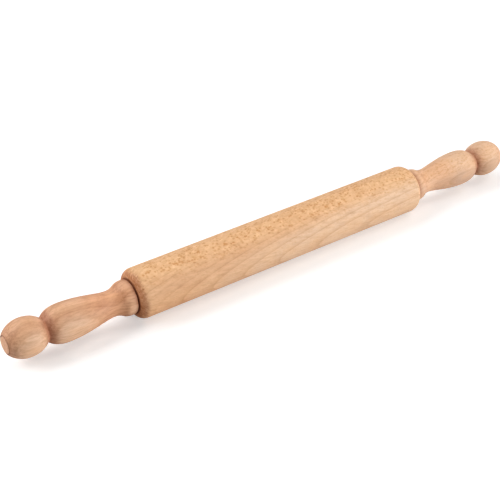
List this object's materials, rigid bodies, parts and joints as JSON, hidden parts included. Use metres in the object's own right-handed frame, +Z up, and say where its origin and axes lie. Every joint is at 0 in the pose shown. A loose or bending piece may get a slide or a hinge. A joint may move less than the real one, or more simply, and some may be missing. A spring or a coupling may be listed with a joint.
{
  "type": "rolling pin",
  "caption": "Wooden rolling pin: a turned roller with a ball-ended handle at each end that turns freely on a headed wooden peg.",
  "frame": {"origin": "under the middle of the roller, on the surface that the roller lies on", "axes": "+X along the pin's turning axis, towards the right handle; +Z up"},
  "size_m": [0.6, 0.0498, 0.0498],
  "materials": {
    "roller_wood": "sanded, unvarnished",
    "handle_wood": "sanded, unvarnished",
    "peg_wood": "sanded end grain"
  },
  "bodies": {
    "roller": {"roller": "roller_wood", "left_peg": "peg_wood", "right_peg": "peg_wood"},
    "left_handle": {"left_handle": "handle_wood"},
    "right_handle": {"right_handle": "handle_wood"}
  },
  "joints": [
    {"name": "left_handle_turn", "type": "hinge", "parent": "roller", "child": "left_handle", "pos_m": [-0.1723, 0, 0.02488], "axis": [1, 0, 0], "continuous": true},
    {"name": "right_handle_turn", "type": "hinge", "parent": "roller", "child": "right_handle", "pos_m": [0.1723, 0, 0.02488], "axis": [1, 0, 0], "continuous": true}
  ]
}
